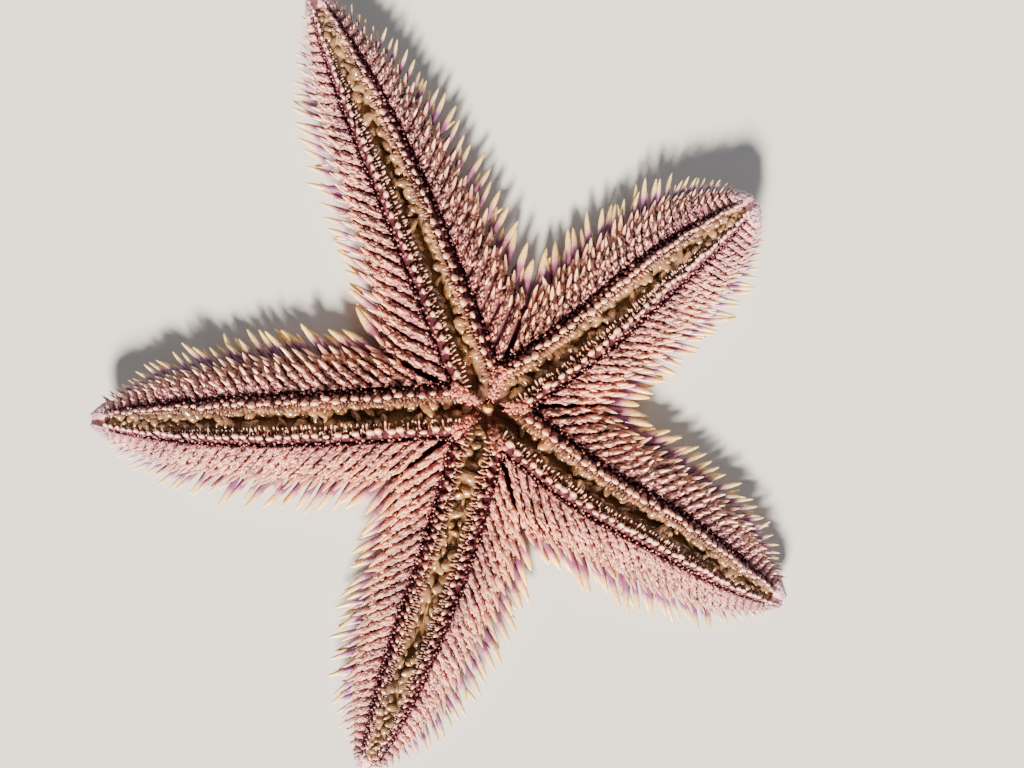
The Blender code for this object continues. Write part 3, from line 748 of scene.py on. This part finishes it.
def back_rosettes(material):
    """The flat-topped rosettes that cover the back, in lines on the arms and evenly on the disc."""
    batch = Batch(ROSETTE, 6)
    for limb, side in each_side():
        lines = int(limb.arm.length / ROSETTE_STEP)
        for k in range(ROSETTE_LINES):
            place = np.arange(lines) + 0.5 * (k % 2) + rng.uniform(-0.2, 0.2, lines)
            share = place / lines * 1.045
            t = BACK - 0.05 - ROSETTE_LINE_ROWS * k + rng.uniform(-0.03, 0.03, lines)
            here, along, _, off = limb.frame(side, share, t)
            keep = clear_of_sieve(here)
            size = rng.uniform(0.8, 1.08, lines) * (1.0 - 0.35 * share)
            batch.add(
                here[keep], off[keep], along[keep], ROSETTE_LENGTH, (ROSETTE_RADIUS * size)[keep],
                limb.chart(side, share, t)[keep],
            )
    placed = np.concatenate([part[0] for part in batch.parts])
    turn = np.arange(SPOTS) * math.pi * (3.0 - math.sqrt(5.0))
    reach = SPOT_REACH * np.sqrt(np.arange(SPOTS) / SPOTS)
    spots = circle(turn) * reach[:, None]
    apart = np.hypot(*(spots[:, None] - placed[None])[..., :2].transpose(2, 0, 1)).min(1)
    spots = spots[(apart > SPOT_APART) & clear_of_sieve(spots)]
    n = len(spots)
    down, ahead = np.tile(-UP, (n, 1)), np.tile((1.0, 0.0, 0.0), (n, 1))
    uv = np.array(DISC_SPOT) + spots[:, :2]
    radius = SPOT_RADIUS * rng.uniform(0.8, 1.08, n)
    batch.add(spots + UP * SPOT_LEVEL, down, ahead, SPOT_LENGTH, radius, uv)
    return batch.make("back_rosettes", material)


def side_beads(material):
    """Beads on the plates below the spines, and all round the arms' tips."""
    batch = Batch(BEAD, 5)
    for limb, side in each_side():
        n = PLATES * PLATE_BEADS
        share = (np.arange(n) % PLATES + rng.uniform(0.15, 0.85, n)) / PLATES
        t = rng.uniform(7.15, 8.75, n)
        here, along, around, off = limb.frame(side, share, t)
        size = taper(share) * rng.uniform(0.8, 1.2, n)
        chart = limb.chart(side, share, t)
        batch.add(here, off + around * 0.2, along, 0.00032 * size, 0.00026 * size, chart)
        share = rng.uniform(0.985, 1.06, TIP_BEADS)
        t = rng.uniform(1.6, 8.7, TIP_BEADS)
        here, along, around, off = limb.frame(side, share, t)
        size = rng.uniform(0.8, 1.3, TIP_BEADS)
        chart = limb.chart(side, share, t)
        batch.add(here, off + along * 0.5, around, 0.00048 * size, 0.00034 * size, chart)
    return batch.make("side_beads", material)


def terminal_plates(material):
    """The small notched plate at the tip of each arm."""
    batch = Batch(BEAD, 10)
    for limb in LIMBS:
        s = np.array([limb.arm.length * TERMINAL_START])
        for across, down in TERMINAL_LOBES:
            u, w = np.array([across]), down * limb.height(s)
            here = limb.point(s, u, w)
            ahead = limb.point(s + 0.001, u, w) - here
            uv = limb.chart(1, np.array([1.06]), np.array([5.0 + 1000.0 * across]))
            batch.add(here, ahead, np.cross(UP[None], ahead), 0.0029, 0.0009, uv, flat=0.8)
    return batch.make("terminal_plates", material)


def arm_grid(limb, t, sides, shares):
    """The skin's points on one arm, ring by ring, from near the mouth's middle."""
    place = np.zeros((3, len(shares), len(t)))
    for side in (1, -1):
        use = sides == side
        place[:, :, use] = limb.place(side, shares[:, None], t[use][None])
    s, u, w = place[:, 0]
    u -= PLATE_GAP * np.sign(u) * (np.abs(u) > HUB_GAP_FROM)
    hub = []
    for q in HUB_RINGS:
        low = (1.0 - q) / (1.0 - HUB_RINGS[0])
        hub.append((s * q, u * q, w * (1.0 - low) + np.minimum(w, HUB_TOP) * low))
    return limb.point(*np.concatenate((np.transpose(hub, (1, 0, 2)), place), 1))


def arm_skin(limb, t, sides, shares):
    """The points, faces, bake map and layers of one arm's part of the skin."""
    grid = arm_grid(limb, t, sides, shares)
    tall, count = grid.shape[:2]
    line = np.concatenate((HUB_SHARES, shares))
    chart = np.zeros((tall, count + 1, 2))
    ring_t, ring_side = np.append(t, 0.0), np.append(sides, -1)
    for side in (1, -1):
        use = ring_side == side
        chart[:, use] = limb.chart(side, line[:, None], ring_t[use][None])
    faces = ring_faces(tall, count)
    i, j = faces[:, 0] // count, faces[:, 0] % count
    uv = np.stack((chart[i, j], chart[i + 1, j], chart[i + 1, j + 1], chart[i, j + 1]), 1)
    # Painted shade: near the mouth the groove and peg rows take a darker colour
    near = (1.0 - smooth(line, *MOUTH_SHADE_SHARES))[:, None] * (t < MOUTH_SHADE_ROW)[None]
    cap = smooth(line, *CAP_ZONE_SHARES)[:, None] * (t < CAP_ZONE_ROW)[None]
    zone = t / BACK * (1.0 - near) + MOUTH_SHADE_ZONE * near
    far = np.clip(line, 0.0, 1.0)
    # Painted shade: seam darkens the skin in the furrows between the marginal plates
    seam = 1.0 - np.abs(np.sin(np.pi * far * PLATES)) ** SEAM_SHADE_POWER
    layers = {
        "zone": zone * (1.0 - cap) + CAP_ZONE * cap,
        "seam": seam[:, None] * ((t > SHADED_SEAM_ROWS[0]) & (t < SHADED_SEAM_ROWS[1]))[None],
        "far": np.repeat(far, count),
    }
    return grid.reshape(-1, 3), faces[:, (0, 3, 2, 1)], uv.reshape(-1, 2), layers


def core():
    """The middle of the body, under the seams between the arms and around the mouth."""
    rim = []
    for arm, (azimuth, radius) in zip(ARMS, CORNERS):
        rim += [heading(arm.azimuth) * CORE_ARM_REACH, heading(azimuth) * (radius - CORE_INSET)]
    x, y, _ = np.transpose(rim)
    angles, radii = np.arctan2(y, x), np.hypot(x, y)
    order = np.argsort(angles)
    around = np.linspace(-math.pi, math.pi, CORE_SIDES, endpoint=False)
    reach = np.interp(around, angles[order], radii[order], period=2.0 * math.pi)
    edge = circle(around) * reach[:, None]
    points = [edge * share + UP * z for share, z, _ in CORE_LEVELS]
    zone = np.repeat([value for _, _, value in CORE_LEVELS], CORE_SIDES)
    faces = ring_faces(len(CORE_LEVELS), CORE_SIDES)
    uv = face_chart(faces, len(CORE_LEVELS), CORE_SIDES, *CORE_CHART)
    layers = {"zone": zone, "seam": 0.0 * zone, "far": 0.0 * zone}
    return np.concatenate(points), faces, uv, layers


def skin(material):
    """One skin over disc and arms, from the mouth out to each tip."""
    half = np.concatenate([np.linspace(*span) for span in ROW_SPANS])
    t = np.concatenate((half, half[-2:0:-1]))
    sides = np.concatenate((np.ones(len(half)), -np.ones(len(half) - 2)))
    shares = np.concatenate((np.arange(PLATES * STEPS) / (PLATES * STEPS), TIP_RINGS))
    parts = [arm_skin(limb, t, sides, shares) for limb in LIMBS] + [core()]
    points, faces, uv, layers = zip(*parts)
    starts = np.cumsum([0] + [len(some) for some in points])
    faces = [some + start for some, start in zip(faces, starts)]
    joined = {key: np.concatenate([part[key].ravel() for part in layers]) for key in layers[0]}
    return build(
        "skin", np.concatenate(points), np.concatenate(faces), np.concatenate(uv), joined, material
    )


def jaw_line(index, part):
    """The half-width, the height and the distance from the middle, at parts of a jaw."""
    share = np.interp(part, JAW_PARTS, JAW_SHARES)
    top = np.interp(part, JAW_PARTS, JAW_TOPS)
    return JAW_HALF_WIDTH * share, top, JAW_TIPS[index] + (JAW_END - JAW_TIPS[index]) * part


def jaw(index, material):
    """One pair of mouth plates with the seam between them."""
    azimuth = CORNERS[index][0]
    out, left = heading(azimuth), heading(azimuth + 90.0)
    part = np.linspace(0.0, 1.0, JAW_RINGS)
    wide, top, r = jaw_line(index, part)
    ends = np.sqrt(np.clip(1.0 - np.abs(2.0 * part - 1.0) ** 8, 0.0004, 1.0))
    turn = turns(JAW_SIDES)
    across = np.sign(np.cos(turn)) * np.abs(np.cos(turn)) ** JAW_SQUARENESS
    rise = 0.5 + 0.5 * np.sign(np.sin(turn)) * np.abs(np.sin(turn)) ** JAW_SQUARENESS
    u = (wide * ends)[:, None] * across[None]
    z = JAW_FOOT + (top - JAW_FOOT)[:, None] * (0.5 + (rise - 0.5)[None] * ends[:, None])
    seam = np.exp(-((u / JAW_SEAM_WIDTH) ** 2)) * (rise > 0.6)[None]
    z = z - JAW_SEAM_DEPTH * seam * ends[:, None]
    points = out * r[:, None, None] + left * u[..., None]
    points[..., 2] += z
    # Painted shade: the plates are coloured by height, darker low down and towards the mouth, and
    # darker in the seam between the pair
    zone = np.clip(z / BODY_HEIGHT, 0.0, 1.0)
    piece = loft("mouth_plate_%d" % (index + 1), points, zone, seam, material)
    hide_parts("jaw_%d" % (index + 1))
    return piece


def granules(batch, index, side, out, left):
    """The granules and short spines on one of a pair of mouth plates."""
    for low, high, n, length, radius, splay, inward in PAPILLA_LINES:
        across = rng.uniform(low, high, n)
        part = (np.arange(n) + rng.uniform(0.1, 0.9, n)) / n
        wide, top, r = jaw_line(index, part)
        z = top - (top - JAW_FOOT) * 0.35 * across**3 - 0.0003
        root = out * r[:, None] + left * (side * wide * across)[:, None] + UP * z[:, None]
        lean = inward * (1.15 - part)[:, None] + rng.normal(0.0, 0.1, (n, 1))
        ahead = UP - out * lean + left * side * (splay + rng.normal(0.0, 0.12, (n, 1)))
        size = rng.uniform(0.65, 1.3, n)
        uv = np.stack((0.945 + 0.045 * part, 0.1 + 0.2 * index + 0.08 * side * across), -1)
        batch.add(root, ahead, out + 0.0 * root, length * size, radius * size, uv)


def papillae(material):
    """The granules on the mouth plates, and slender teeth that point into the mouth."""
    batch = Batch(CLUB, 6)
    for index, (azimuth, _) in enumerate(CORNERS):
        out, left = heading(azimuth), heading(azimuth + 90.0)
        for side in (1, -1):
            granules(batch, index, side, out, left)
        across = np.linspace(-TEETH_HALF_SPREAD, TEETH_HALF_SPREAD, TEETH)[:, None]
        root = out * (JAW_TIPS[index] + 0.0003) + left * across + UP * (JAW_TOPS[0] - 0.0004)
        ahead = left * (across * 900.0 + rng.normal(0.0, 0.15, (TEETH, 1))) - out
        ahead = ahead + UP * rng.uniform(-0.3, 0.2, (TEETH, 1))
        uv = np.tile((0.93, 0.1 + 0.2 * index), (TEETH, 1))
        length = rng.uniform(*TOOTH_LENGTHS, TEETH)
        batch.add(root, ahead, left + 0.0 * root, length, TOOTH_RADIUS, uv, tint=np.zeros(TEETH))
    return batch.make("papillae", material)


def mouth_lining(material):
    """The soft floor of the mouth, near-black for the mouth's painted shade, with a small bright
    lip at its middle.
    """
    rings, sides = 12, 36
    part = np.linspace(0.02, 1.0, rings)
    turn = turns(sides)
    r = MOUTH_RADIUS * LINING_SHARE * part
    lip = LIP_RISE * np.exp(-((part / LIP_SHARE) ** 2))
    z = LINING_LEVEL + LINING_RISE * part**2 + lip
    fold = FOLD_DEPTH * np.cos(15.0 * turn)[None] * (part * (1.0 - part) * 4.0)[:, None]
    points = circle(turn)[None] * r[:, None, None]
    points[..., 2] = z[:, None] + fold
    return loft("mouth_lining", points, np.repeat(part, sides), np.zeros(fold.shape), material)


def sieve_plate(material):
    """The grooved sieve plate on the back, which faces down."""
    rings, sides = 16, 48
    part = np.linspace(0.001, 1.0, rings)
    turn = turns(sides)
    wave = 0.5 + 0.5 * np.cos(12.0 * turn[None] + 5.0 * np.sin(9.0 * part)[:, None])
    points = circle(-turn)[None] * (SIEVE_RADIUS * part)[:, None, None] + SIEVE
    edge = SIEVE_EDGE_RISE * part[:, None] ** 4
    points[..., 2] = SIEVE_LEVEL + edge + SIEVE_GROOVES * wave * part[:, None]
    # Painted shade: wave also darkens the plate's grooves
    piece = loft("sieve_plate", points, np.repeat(part, sides), wave, material)
    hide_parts("madreporite")
    return piece


# A material: colours along the attribute by, each after its place, and a shade along shade_by,
# after its share; then the coat, grains to the metre, the darkest and palest blotches, and the
# depth of the bumps
Paint = namedtuple(
    "Paint", "stops shade roughness by shade_by coat grain blotch depth",
    defaults=("along", "tint", 0.14, 2600.0, (0.5, 1.0), 0.00006),
)
MATT_SPECULAR = 0.04  # where there is no coat
BLOTCHES = 160.0  # to the metre
SPECKS = ((0.32, 0.72, 0.68, 0.70), (0.66, 1.20, 1.18, 1.16))
# How the colours change towards the tips
PIECE_TONES = (
    (0.04, 1.08, 0.97, 0.84), (0.36, 1.0, 1.0, 1.0), (0.66, 0.95, 0.96, 1.10),
    (0.95, 1.0, 1.02, 1.24),
)
SKIN_TONES = ((0.70, 1.0, 1.0, 1.0), (0.96, 1.7, 2.1, 2.2))
# The skin's colours from the groove (0) to the back (1); the near-black band from 0.11 to 0.37,
# over the ridge under the pegs and the trench beside them, is the skin's dark purple with painted
# shade
SKIN_COLOURS = (
    (0.00, 0.42, 0.235, 0.105),
    (0.06, 0.30, 0.155, 0.075),
    (0.11, 0.09, 0.026, 0.028),
    (0.19, 0.085, 0.021, 0.026),
    (0.26, 0.075, 0.018, 0.024),
    (0.37, 0.085, 0.021, 0.028),
    (0.43, 0.50, 0.185, 0.180),
    (0.60, 0.60, 0.235, 0.220),
    (0.74, 0.50, 0.205, 0.220),
    (0.86, 0.33, 0.270, 0.240),
    (1.00, 0.30, 0.250, 0.220),
)
# The colour of the painted shade in the furrows
SEAM_SHADE = (0.045, 0.015, 0.028)
PALETTE = {
    "skin": Paint(SKIN_COLOURS, (0.85, *SEAM_SHADE), 0.6, "zone", "seam", coat=0.0),
    "squamules": Paint(
        ((0.0, 0.46, 0.15, 0.14), (0.35, 0.82, 0.34, 0.25), (0.75, 1.0, 0.57, 0.39),
         (1.0, 1.0, 0.66, 0.48)),
        (0.7, 0.46, 0.15, 0.185), 0.3, coat=0.45,
    ),
    "marginal_spines": Paint(
        ((0.0, 0.14, 0.03, 0.11), (0.42, 0.27, 0.08, 0.2), (0.56, 0.74, 0.43, 0.36),
         (0.7, 1.0, 0.68, 0.22), (1.0, 1.0, 0.78, 0.27)),
        (0.2, 0.6, 0.32, 0.26), 0.32, coat=0.3, blotch=(0.88, 1.0),
    ),
    "lance_spines": Paint(
        ((0.0, 0.26, 0.065, 0.11), (0.36, 0.74, 0.29, 0.2), (0.7, 1.0, 0.64, 0.34),
         (1.0, 1.0, 0.78, 0.42)),
        (0.4, 0.66, 0.3, 0.28), 0.3, coat=0.45, blotch=(0.8, 1.0),
    ),
    # Pegs: near-black at their bases, their purple with painted shade of the trench, and pale at
    # the tips
    "pegs": Paint(
        ((0.0, 0.07, 0.018, 0.036), (0.48, 0.2, 0.05, 0.07), (0.7, 0.92, 0.42, 0.27),
         (0.86, 1.0, 0.58, 0.34), (1.0, 1.0, 0.7, 0.45)),
        (0.25, 0.7, 0.36, 0.29), 0.28, coat=0.35, blotch=(0.85, 1.0),
    ),
    "comb_spines": Paint(
        ((0.0, 0.12, 0.035, 0.04), (0.5, 0.36, 0.13, 0.1), (0.8, 0.86, 0.5, 0.33),
         (1.0, 0.98, 0.72, 0.5)),
        (0.55, 0.34, 0.17, 0.13), 0.3,
    ),
    # Mostly near-black: painted shade of the trench on the spinelets
    "trench_spines": Paint(
        ((0.0, 0.05, 0.013, 0.024), (0.6, 0.16, 0.04, 0.055), (1.0, 0.8, 0.35, 0.25)),
        (0.95, 0.1, 0.022, 0.036), 0.36,
    ),
    "tube_feet": Paint(
        ((0.0, 0.24, 0.118, 0.05), (0.5, 0.31, 0.16, 0.064), (0.85, 0.43, 0.226, 0.086),
         (1.0, 0.54, 0.31, 0.13)),
        (0.6, 0.19, 0.092, 0.044), 0.2,
        coat=1.0, grain=1500.0, blotch=(0.55, 1.0), depth=0.00022,
    ),
    "back_rosettes": Paint(
        ((0.0, 0.14, 0.1, 0.095), (0.7, 0.33, 0.265, 0.24), (1.0, 0.46, 0.395, 0.35)),
        (0.4, 0.25, 0.19, 0.21), 0.5,
    ),
    "side_beads": Paint(
        ((0.0, 0.32, 0.15, 0.15), (0.6, 0.62, 0.34, 0.31), (1.0, 0.84, 0.54, 0.46)),
        (0.4, 0.42, 0.22, 0.24), 0.42,
    ),
    "papillae": Paint(
        ((0.0, 0.2, 0.03, 0.03), (0.5, 0.46, 0.1, 0.08), (0.85, 0.74, 0.215, 0.15),
         (1.0, 0.88, 0.36, 0.245)),
        (0.7, 0.46, 0.11, 0.1), 0.28,
    ),
    # Painted shade by height and in the seam
    "mouth_plates": Paint(
        ((0.0, 0.1, 0.03, 0.03), (0.8, 0.26, 0.085, 0.08), (1.0, 0.52, 0.24, 0.21)),
        (0.9, 0.08, 0.022, 0.025), 0.34, "zone", "seam",
    ),
    # Near-black beyond the lip: painted shade of the mouth
    "mouth_lining": Paint(
        ((0.0, 0.98, 0.76, 0.28), (0.12, 0.86, 0.5, 0.13), (0.19, 0.09, 0.04, 0.03),
         (1.0, 0.05, 0.022, 0.022)),
        (0.5, *SEAM_SHADE), 0.75, "zone", "seam", coat=0.0, blotch=(1.0, 1.0),
    ),
    # Darkened in its grooves: painted shade
    "sieve_plate": Paint(
        ((0.0, 0.66, 0.56, 0.45), (1.0, 0.56, 0.47, 0.39)), (0.9, 0.1, 0.07, 0.065), 0.5,
        "zone", "seam",
    ),
    "terminal_plates": Paint(
        ((0.0, 0.5, 0.26, 0.25), (1.0, 0.8, 0.5, 0.4)), (0.3, 0.36, 0.22, 0.26), 0.35,
    ),
}


def attribute(tree, name):
    made = tree.nodes.new("ShaderNodeAttribute")
    made.attribute_name = name
    return made.outputs["Fac"]


def ramp(tree, source, stops):
    made = tree.nodes.new("ShaderNodeValToRGB")
    bar = made.color_ramp.elements
    while len(bar) < len(stops):
        bar.new(1.0)
    for stop, (place, *colour) in zip(bar, stops):
        stop.position = place
        stop.color = (*colour, 1.0)
    tree.links.new(source, made.inputs["Fac"])
    return made.outputs["Color"]


def mix(tree, kind, factor, first, second):
    """A colour mix: its sockets 0, 6 and 7 are the factor and the two colours."""
    made = tree.nodes.new("ShaderNodeMix")
    made.data_type = "RGBA"
    made.blend_type = kind
    for socket, value in ((0, factor), (6, first), (7, second)):
        if isinstance(value, (tuple, float)):
            made.inputs[socket].default_value = value if socket == 0 else (*value, 1.0)
        else:
            tree.links.new(value, made.inputs[socket])
    return made.outputs[2]


def put(node, values):
    for name, value in values.items():
        node.inputs[name].default_value = value


def noise(tree, scale):
    place = tree.nodes.new("ShaderNodeTexCoord")
    made = tree.nodes.new("ShaderNodeTexNoise")
    put(made, {"Scale": scale, "Detail": 3.0})
    tree.links.new(place.outputs["Object"], made.inputs["Vector"])
    return made.outputs["Fac"]


def blank(name):
    """A new material, its node tree and its shader."""
    material = bpy.data.materials.new(name)
    material.use_nodes = True
    return material, material.node_tree, material.node_tree.nodes["Principled BSDF"]


def paint(name, look):
    """A colour that runs along an attribute, shaded by a second, with grain, blotches and bumps."""
    material, tree, shader = blank(name)
    strength, *shade = look.shade
    colour = ramp(tree, attribute(tree, look.by), look.stops)
    stops = ((0.0,) * 4, (1.0, strength, strength, strength))
    factor = ramp(tree, attribute(tree, look.shade_by), stops)
    colour = mix(tree, "MIX", factor, colour, tuple(shade))
    low, high = look.blotch
    fine = noise(tree, look.grain)
    for source, stops in (
        (attribute(tree, "far"), SKIN_TONES if name == "skin" else PIECE_TONES),
        (noise(tree, BLOTCHES), ((0.35, low, low, low * 1.08), (0.62, high, high, high))),
        (fine, SPECKS),
    ):
        colour = mix(tree, "MULTIPLY", 1.0, colour, ramp(tree, source, stops))
    tree.links.new(colour, shader.inputs["Base Color"])
    put(shader, {
        "Roughness": look.roughness, "Coat Weight": look.coat, "Coat Roughness": 0.12,
        "Specular IOR Level": 0.5 if look.coat else MATT_SPECULAR,
    })
    bump = tree.nodes.new("ShaderNodeBump")
    put(bump, {"Strength": 0.6, "Distance": look.depth})
    tree.links.new(fine, bump.inputs["Height"])
    tree.links.new(bump.outputs["Normal"], shader.inputs["Normal"])
    return material


def add_light(name, kind, place, size, power, colour):
    """A lamp that points at the mouth. size is an angle for a sun, and otherwise in metres."""
    data = bpy.data.lights.new(name, kind)
    if kind == "SUN":
        data.angle = size
    else:
        data.size = size
    data.energy = power
    data.color = colour
    lamp = bpy.data.objects.new(name, data)
    lamp.location = place
    lamp.rotation_euler = (-Vector(place)).to_track_quat("-Z", "Y").to_euler()
    bpy.context.scene.collection.objects.link(lamp)


def studio():
    """A pale floor, soft light from the photo's side, and the camera straight above."""
    bpy.ops.mesh.primitive_plane_add(size=FLOOR_SIZE, location=(0.0, 0.0, FLOOR_LEVEL))
    floor = bpy.context.active_object
    floor.name = "floor"
    material, _, shader = blank("pale_floor")
    put(shader, {"Base Color": (*FLOOR_COLOUR, 1.0), "Roughness": 0.8})
    floor.data.materials.append(material)
    for light in LIGHTS:
        add_light(*light)
    world = bpy.data.worlds.new("surround")
    world.use_nodes = True
    colour = (*SURROUND_COLOUR, 1.0)
    put(world.node_tree.nodes["Background"], {"Color": colour, "Strength": SURROUND_STRENGTH})
    bpy.context.scene.world = world
    data = bpy.data.cameras.new("camera")
    data.lens = LENS
    data.sensor_width = SENSOR
    camera = bpy.data.objects.new("camera", data)
    camera.location = (*PHOTO_MIDDLE, PHOTO_LEVEL + PHOTO_WIDTH * LENS / SENSOR)
    bpy.context.scene.collection.objects.link(camera)
    bpy.context.scene.camera = camera


def main():
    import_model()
    paints = {name: paint(name, look) for name, look in PALETTE.items()}
    body = skin(paints["skin"])
    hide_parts("disc", "arm_1", "arm_2", "arm_3", "arm_4", "arm_5")
    pieces = [body, sieve_plate(paints["sieve_plate"])]
    for name, rows in SCALE_COATS:
        pieces.append(squamules(name, rows, paints["squamules"]))
    for make in (
        marginal_spines, lance_spines, pegs, comb_spines, trench_spines, tube_feet,
        back_rosettes, side_beads, terminal_plates,
    ):
        pieces.append(make(paints[make.__name__]))
    mouth = [jaw(k, paints["mouth_plates"]) for k in range(len(CORNERS))]
    mouth += [papillae(paints["papillae"]), mouth_lining(paints["mouth_lining"])]
    studio()


main()
